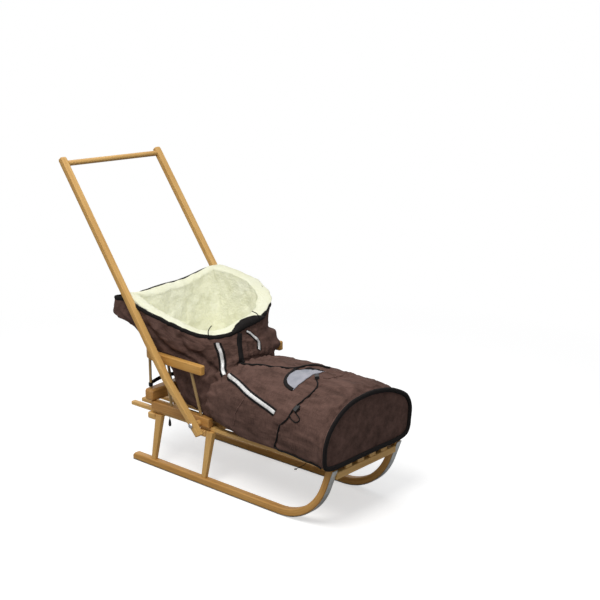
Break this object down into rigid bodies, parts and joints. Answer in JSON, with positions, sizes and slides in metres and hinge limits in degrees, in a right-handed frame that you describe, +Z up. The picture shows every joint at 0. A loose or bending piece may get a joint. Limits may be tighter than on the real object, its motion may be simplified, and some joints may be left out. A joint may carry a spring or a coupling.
{
  "type": "wooden sledge",
  "caption": "Child's wooden sledge: bent runners with steel soles, slatted seat, bentwood backrest, folding push handle and a padded, fleece-lined footmuff.",
  "frame": {"origin": "midway along and across the whole sledge, on the ground under the steel soles", "axes": "+X forward towards the curled tips, +Y the rider's left, +Z up"},
  "size_m": [1.1586, 0.4414, 1.0208],
  "materials": {
    "runner_wood": "satin varnish, orange-gold bentwood",
    "frame_wood": "satin varnish",
    "pale_wood": "satin varnish, pale",
    "dark_wood": "satin varnish, darker",
    "dowel_wood": "plain turned rod",
    "sole_steel": "bright rolled strip",
    "zinc_steel": "zinc plated",
    "melange_fabric": "matt brown melange",
    "fleece": "cream pile",
    "black_trim": "black webbing, piping and cord",
    "reflective": "reflective tape",
    "badge_cloth": "bare patch",
    "black_plastic": "moulded"
  },
  "bodies": {
    "sledge": {"runner_left": "runner_wood", "runner_right": "runner_wood", "sole_strip_left": "sole_steel", "sole_strip_right": "sole_steel", "leg_rear_left": "frame_wood", "leg_rear_right": "frame_wood", "leg_mid_left": "frame_wood", "leg_mid_right": "frame_wood", "crosspiece_rear": "frame_wood", "crosspiece_mid": "frame_wood", "front_crossbar": "pale_wood", "seat_slat_1": "pale_wood", "seat_slat_2": "pale_wood", "seat_slat_3": "pale_wood", "seat_slat_4": "pale_wood", "seat_slat_5": "pale_wood", "seat_slat_6": "pale_wood", "backrest_board_left": "dark_wood", "backrest_board_right": "dark_wood", "back_bearer": "dark_wood", "armrest_hoop": "pale_wood", "dowel_front_left": "dowel_wood", "dowel_mid_left": "dowel_wood", "dowel_corner_left": "dowel_wood", "dowel_back_left": "dowel_wood", "dowel_front_right": "dowel_wood", "dowel_mid_right": "dowel_wood", "dowel_corner_right": "dowel_wood", "dowel_back_right": "dowel_wood", "pivot_bolt_left": "zinc_steel", "pivot_nut_left": "zinc_steel", "pivot_spacer_left": "frame_wood", "pivot_bolt_right": "zinc_steel", "pivot_nut_right": "zinc_steel", "pivot_spacer_right": "frame_wood", "footmuff_shell": "melange_fabric", "fleece_lining": "fleece", "foot_panel": "melange_fabric", "foot_piping": "black_trim", "mouth_binding": "black_trim", "reflective_strip_chest": "reflective", "reflective_strip_far": "reflective", "reflective_strip_side": "reflective", "placket": "black_trim", "badge_patch": "badge_cloth", "muff_strap_left": "black_trim", "muff_strap_right": "black_trim", "cord_lock_upper_body": "black_plastic", "cord_lock_lower_body": "black_plastic", "elastic_cord": "black_trim", "toggle_cord": "black_trim", "tie_cord": "black_trim", "cord_toggle": "black_plastic"},
    "push_handle": {"push_bar_left": "frame_wood", "push_bar_right": "frame_wood", "handle_grip": "frame_wood"},
    "upper_lock_button": {"cord_lock_upper_button": "black_plastic"},
    "lower_lock_button": {"cord_lock_lower_button": "black_plastic"}
  },
  "joints": [
    {"name": "handle_fold", "type": "hinge", "parent": "sledge", "child": "push_handle", "pos_m": [0.01155, 0, 0.209], "axis": [0, 1, 0], "range_deg": [0, 95]},
    {"name": "upper_lock_press", "type": "slide", "parent": "sledge", "child": "upper_lock_button", "axis": [0.66, -0.7445, -0.1008], "range_m": [0, 0.003], "stiffness_N_per_m": 300},
    {"name": "lower_lock_press", "type": "slide", "parent": "sledge", "child": "lower_lock_button", "axis": [-0.4004, -0.5916, -0.6998], "range_m": [0, 0.003], "stiffness_N_per_m": 300}
  ]
}
